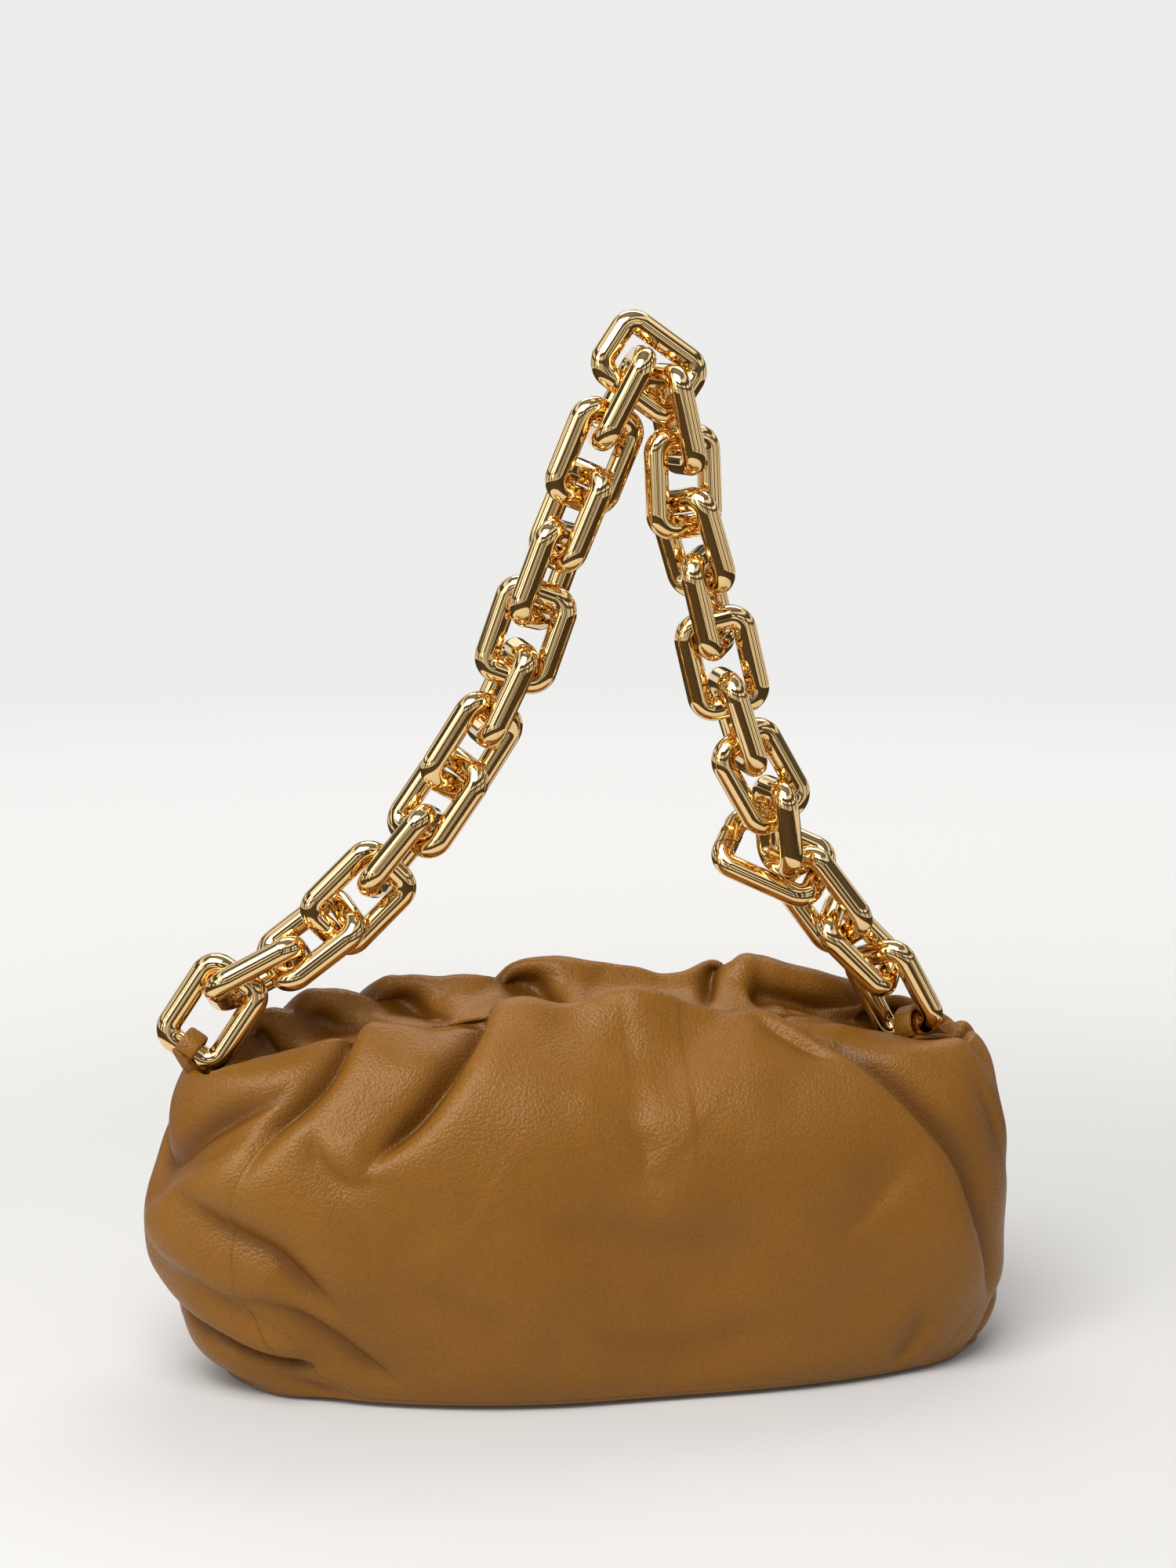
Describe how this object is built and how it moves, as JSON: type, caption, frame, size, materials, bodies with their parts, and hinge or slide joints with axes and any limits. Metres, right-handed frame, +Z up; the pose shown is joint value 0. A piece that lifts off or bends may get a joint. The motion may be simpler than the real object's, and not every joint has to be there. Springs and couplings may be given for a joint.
{
  "type": "chain strap shoulder bag",
  "caption": "Gathered leather pouch bag on a flat base, with a hinged frame mouth and a chunky oval chain shoulder strap that has a gate clasp link.",
  "frame": {"origin": "middle of the flat base, on the surface it stands on", "axes": "+Z up, +X along the bag to the right seen from the front, front towards -Y"},
  "size_m": [0.3226, 0.124, 0.3983],
  "materials": {
    "tan_leather": "smooth calf leather with a satin sheen and a fine grain",
    "gold_metal": "polished pale gold plating",
    "dark_lining": "fine woven lining",
    "board": "stiff fibre board",
    "frame_steel": "satin steel",
    "magnet": "nickel plated magnet"
  },
  "bodies": {
    "pouch": {"leather_shell": "tan_leather", "lining": "dark_lining", "base_board": "board", "slip_pocket": "dark_lining", "rear_frame": "frame_steel", "pivot_pins": "frame_steel", "rear_magnets": "magnet", "left_tab": "tan_leather", "right_tab": "tan_leather", "tab_rivets": "gold_metal"},
    "front_frame": {"front_frame": "frame_steel", "front_panel": "tan_leather", "front_magnets": "magnet"},
    "strap": {"top_link": "gold_metal"},
    "left_ring": {"left_ring": "gold_metal"},
    "left_link_1": {"left_link_1": "gold_metal"},
    "left_link_2": {"left_link_2": "gold_metal"},
    "left_link_3": {"left_link_3": "gold_metal"},
    "left_link_4": {"left_link_4": "gold_metal"},
    "left_link_5": {"left_link_5": "gold_metal"},
    "left_link_6": {"left_link_6": "gold_metal"},
    "left_link_7": {"left_link_7": "gold_metal"},
    "left_link_8": {"left_link_8": "gold_metal"},
    "left_link_9": {"left_link_9": "gold_metal"},
    "left_link_10": {"left_link_10": "gold_metal"},
    "left_link_11": {"left_link_11": "gold_metal"},
    "left_link_12": {"left_link_12": "gold_metal"},
    "right_link_9": {"right_link_9": "gold_metal"},
    "right_link_8": {"right_link_8": "gold_metal"},
    "right_link_7": {"right_link_7": "gold_metal"},
    "right_link_6": {"right_link_6": "gold_metal"},
    "right_link_5": {"right_link_5": "gold_metal"},
    "right_link_4": {"right_link_4": "gold_metal"},
    "right_link_3": {"right_link_3": "gold_metal"},
    "connecting_link": {"connecting_link": "gold_metal"},
    "clasp": {"clasp_body": "gold_metal", "gate_pin": "gold_metal"},
    "right_link_2": {"right_link_2": "gold_metal"},
    "right_link_1": {"right_link_1": "gold_metal"},
    "right_ring": {"right_ring": "gold_metal"},
    "clasp_gate": {"clasp_gate": "gold_metal"}
  },
  "joints": [
    {"name": "mouth_hinge", "type": "hinge", "parent": "pouch", "child": "front_frame", "pos_m": [0, 0, 0.09606], "axis": [1, 0, 0], "range_deg": [0, 50]},
    {"name": "strap_swing", "type": "hinge", "parent": "pouch", "child": "strap", "pos_m": [-0.15152, 0, 0.12699], "axis": [0.9998, 0, -0.0179], "range_deg": [-14, 14]},
    {"name": "left_ring_roll", "type": "hinge", "parent": "strap", "child": "left_ring", "pos_m": [-0.14227, 0, 0.14068], "axis": [0.5592, 0, 0.829], "range_deg": [-2, 2]},
    {"name": "left_link_1_roll", "type": "hinge", "parent": "strap", "child": "left_link_1", "pos_m": [-0.12498, 0, 0.15473], "axis": [0.8969, 0, 0.4423], "range_deg": [-2, 2]},
    {"name": "left_link_2_roll", "type": "hinge", "parent": "strap", "child": "left_link_2", "pos_m": [-0.10502, 0, 0.16683], "axis": [0.8065, 0, 0.5913], "range_deg": [-2, 2]},
    {"name": "left_link_3_roll", "type": "hinge", "parent": "strap", "child": "left_link_3", "pos_m": [-0.08717, 0, 0.18195], "axis": [0.7163, 0, 0.6978], "range_deg": [-2, 2]},
    {"name": "left_link_4_roll", "type": "hinge", "parent": "strap", "child": "left_link_4", "pos_m": [-0.07125, 0, 0.19916], "axis": [0.6395, 0, 0.7688], "range_deg": [-5, 5]},
    {"name": "left_link_5_roll", "type": "hinge", "parent": "strap", "child": "left_link_5", "pos_m": [-0.05705, 0, 0.21784], "axis": [0.57, 0, 0.8216], "range_deg": [-5, 5]},
    {"name": "left_link_6_roll", "type": "hinge", "parent": "strap", "child": "left_link_6", "pos_m": [-0.044, 0, 0.23737], "axis": [0.541, 0, 0.841], "range_deg": [-8, 8]},
    {"name": "left_link_7_roll", "type": "hinge", "parent": "strap", "child": "left_link_7", "pos_m": [-0.03256, 0, 0.2578], "axis": [0.4345, 0, 0.9007], "range_deg": [-8, 8]},
    {"name": "left_link_8_roll", "type": "hinge", "parent": "strap", "child": "left_link_8", "pos_m": [-0.02349, 0, 0.27942], "axis": [0.338, 0, 0.9412], "range_deg": [-8, 8]},
    {"name": "left_link_9_roll", "type": "hinge", "parent": "strap", "child": "left_link_9", "pos_m": [-0.01536, 0, 0.30147], "axis": [0.3543, 0, 0.9351], "range_deg": [-8, 8]},
    {"name": "left_link_10_roll", "type": "hinge", "parent": "strap", "child": "left_link_10", "pos_m": [-0.00665, 0, 0.32329], "axis": [0.3867, 0, 0.9222], "range_deg": [-8, 8]},
    {"name": "left_link_11_roll", "type": "hinge", "parent": "strap", "child": "left_link_11", "pos_m": [0.00244, 0, 0.34496], "axis": [0.3867, 0, 0.9222], "range_deg": [-8, 8]},
    {"name": "left_link_12_roll", "type": "hinge", "parent": "strap", "child": "left_link_12", "pos_m": [0.01245, 0, 0.36618], "axis": [0.4656, 0, 0.885], "range_deg": [-4, 4]},
    {"name": "right_link_9_roll", "type": "hinge", "parent": "strap", "child": "right_link_9", "pos_m": [0.03293, 0, 0.358], "axis": [-0.2149, 0, 0.9766], "range_deg": [-8, 8]},
    {"name": "right_link_8_roll", "type": "hinge", "parent": "strap", "child": "right_link_8", "pos_m": [0.03594, 0, 0.33486], "axis": [-0.042, 0, 0.9991], "range_deg": [-8, 8]},
    {"name": "right_link_7_roll", "type": "hinge", "parent": "strap", "child": "right_link_7", "pos_m": [0.03973, 0, 0.31199], "axis": [-0.2825, 0, 0.9593], "range_deg": [-8, 8]},
    {"name": "right_link_6_roll", "type": "hinge", "parent": "strap", "child": "right_link_6", "pos_m": [0.04577, 0, 0.28929], "axis": [-0.2319, 0, 0.9727], "range_deg": [-8, 8]},
    {"name": "right_link_5_roll", "type": "hinge", "parent": "strap", "child": "right_link_5", "pos_m": [0.05122, 0, 0.26643], "axis": [-0.2319, 0, 0.9727], "range_deg": [-8, 8]},
    {"name": "right_link_4_roll", "type": "hinge", "parent": "strap", "child": "right_link_4", "pos_m": [0.05746, 0, 0.2438], "axis": [-0.2992, 0, 0.9542], "range_deg": [-8, 8]},
    {"name": "right_link_3_roll", "type": "hinge", "parent": "strap", "child": "right_link_3", "pos_m": [0.0667, 0, 0.22245], "axis": [-0.491, 0, 0.8711], "range_deg": [-3, 3]},
    {"name": "connecting_link_roll", "type": "hinge", "parent": "strap", "child": "connecting_link", "pos_m": [0.07343, 0, 0.20299], "axis": [-0.1116, 0, 0.9937], "range_deg": [-2, 2]},
    {"name": "clasp_roll", "type": "hinge", "parent": "strap", "child": "clasp", "pos_m": [0.07535, 0.0132, 0.18818], "axis": [-0.8612, 0.342, 0.3761], "range_deg": [-2, 2]},
    {"name": "right_link_2_roll", "type": "hinge", "parent": "strap", "child": "right_link_2", "pos_m": [0.09204, 0.0032, 0.17262], "axis": [-0.557, 0.2756, 0.7835], "range_deg": [-2, 2]},
    {"name": "right_link_1_roll", "type": "hinge", "parent": "strap", "child": "right_link_1", "pos_m": [0.10665, 0, 0.1552], "axis": [-0.6998, 0, 0.7144], "range_deg": [-2, 2]},
    {"name": "right_ring_roll", "type": "hinge", "parent": "strap", "child": "right_ring", "pos_m": [0.12025, 0, 0.13657], "axis": [-0.4695, 0, 0.8829], "range_deg": [-2, 2]},
    {"name": "gate_hinge", "type": "hinge", "parent": "clasp", "child": "clasp_gate", "pos_m": [0.06228, 0.02242, 0.19906], "axis": [0.0449, 0.7881, -0.6139], "range_deg": [0, 28]}
  ]
}
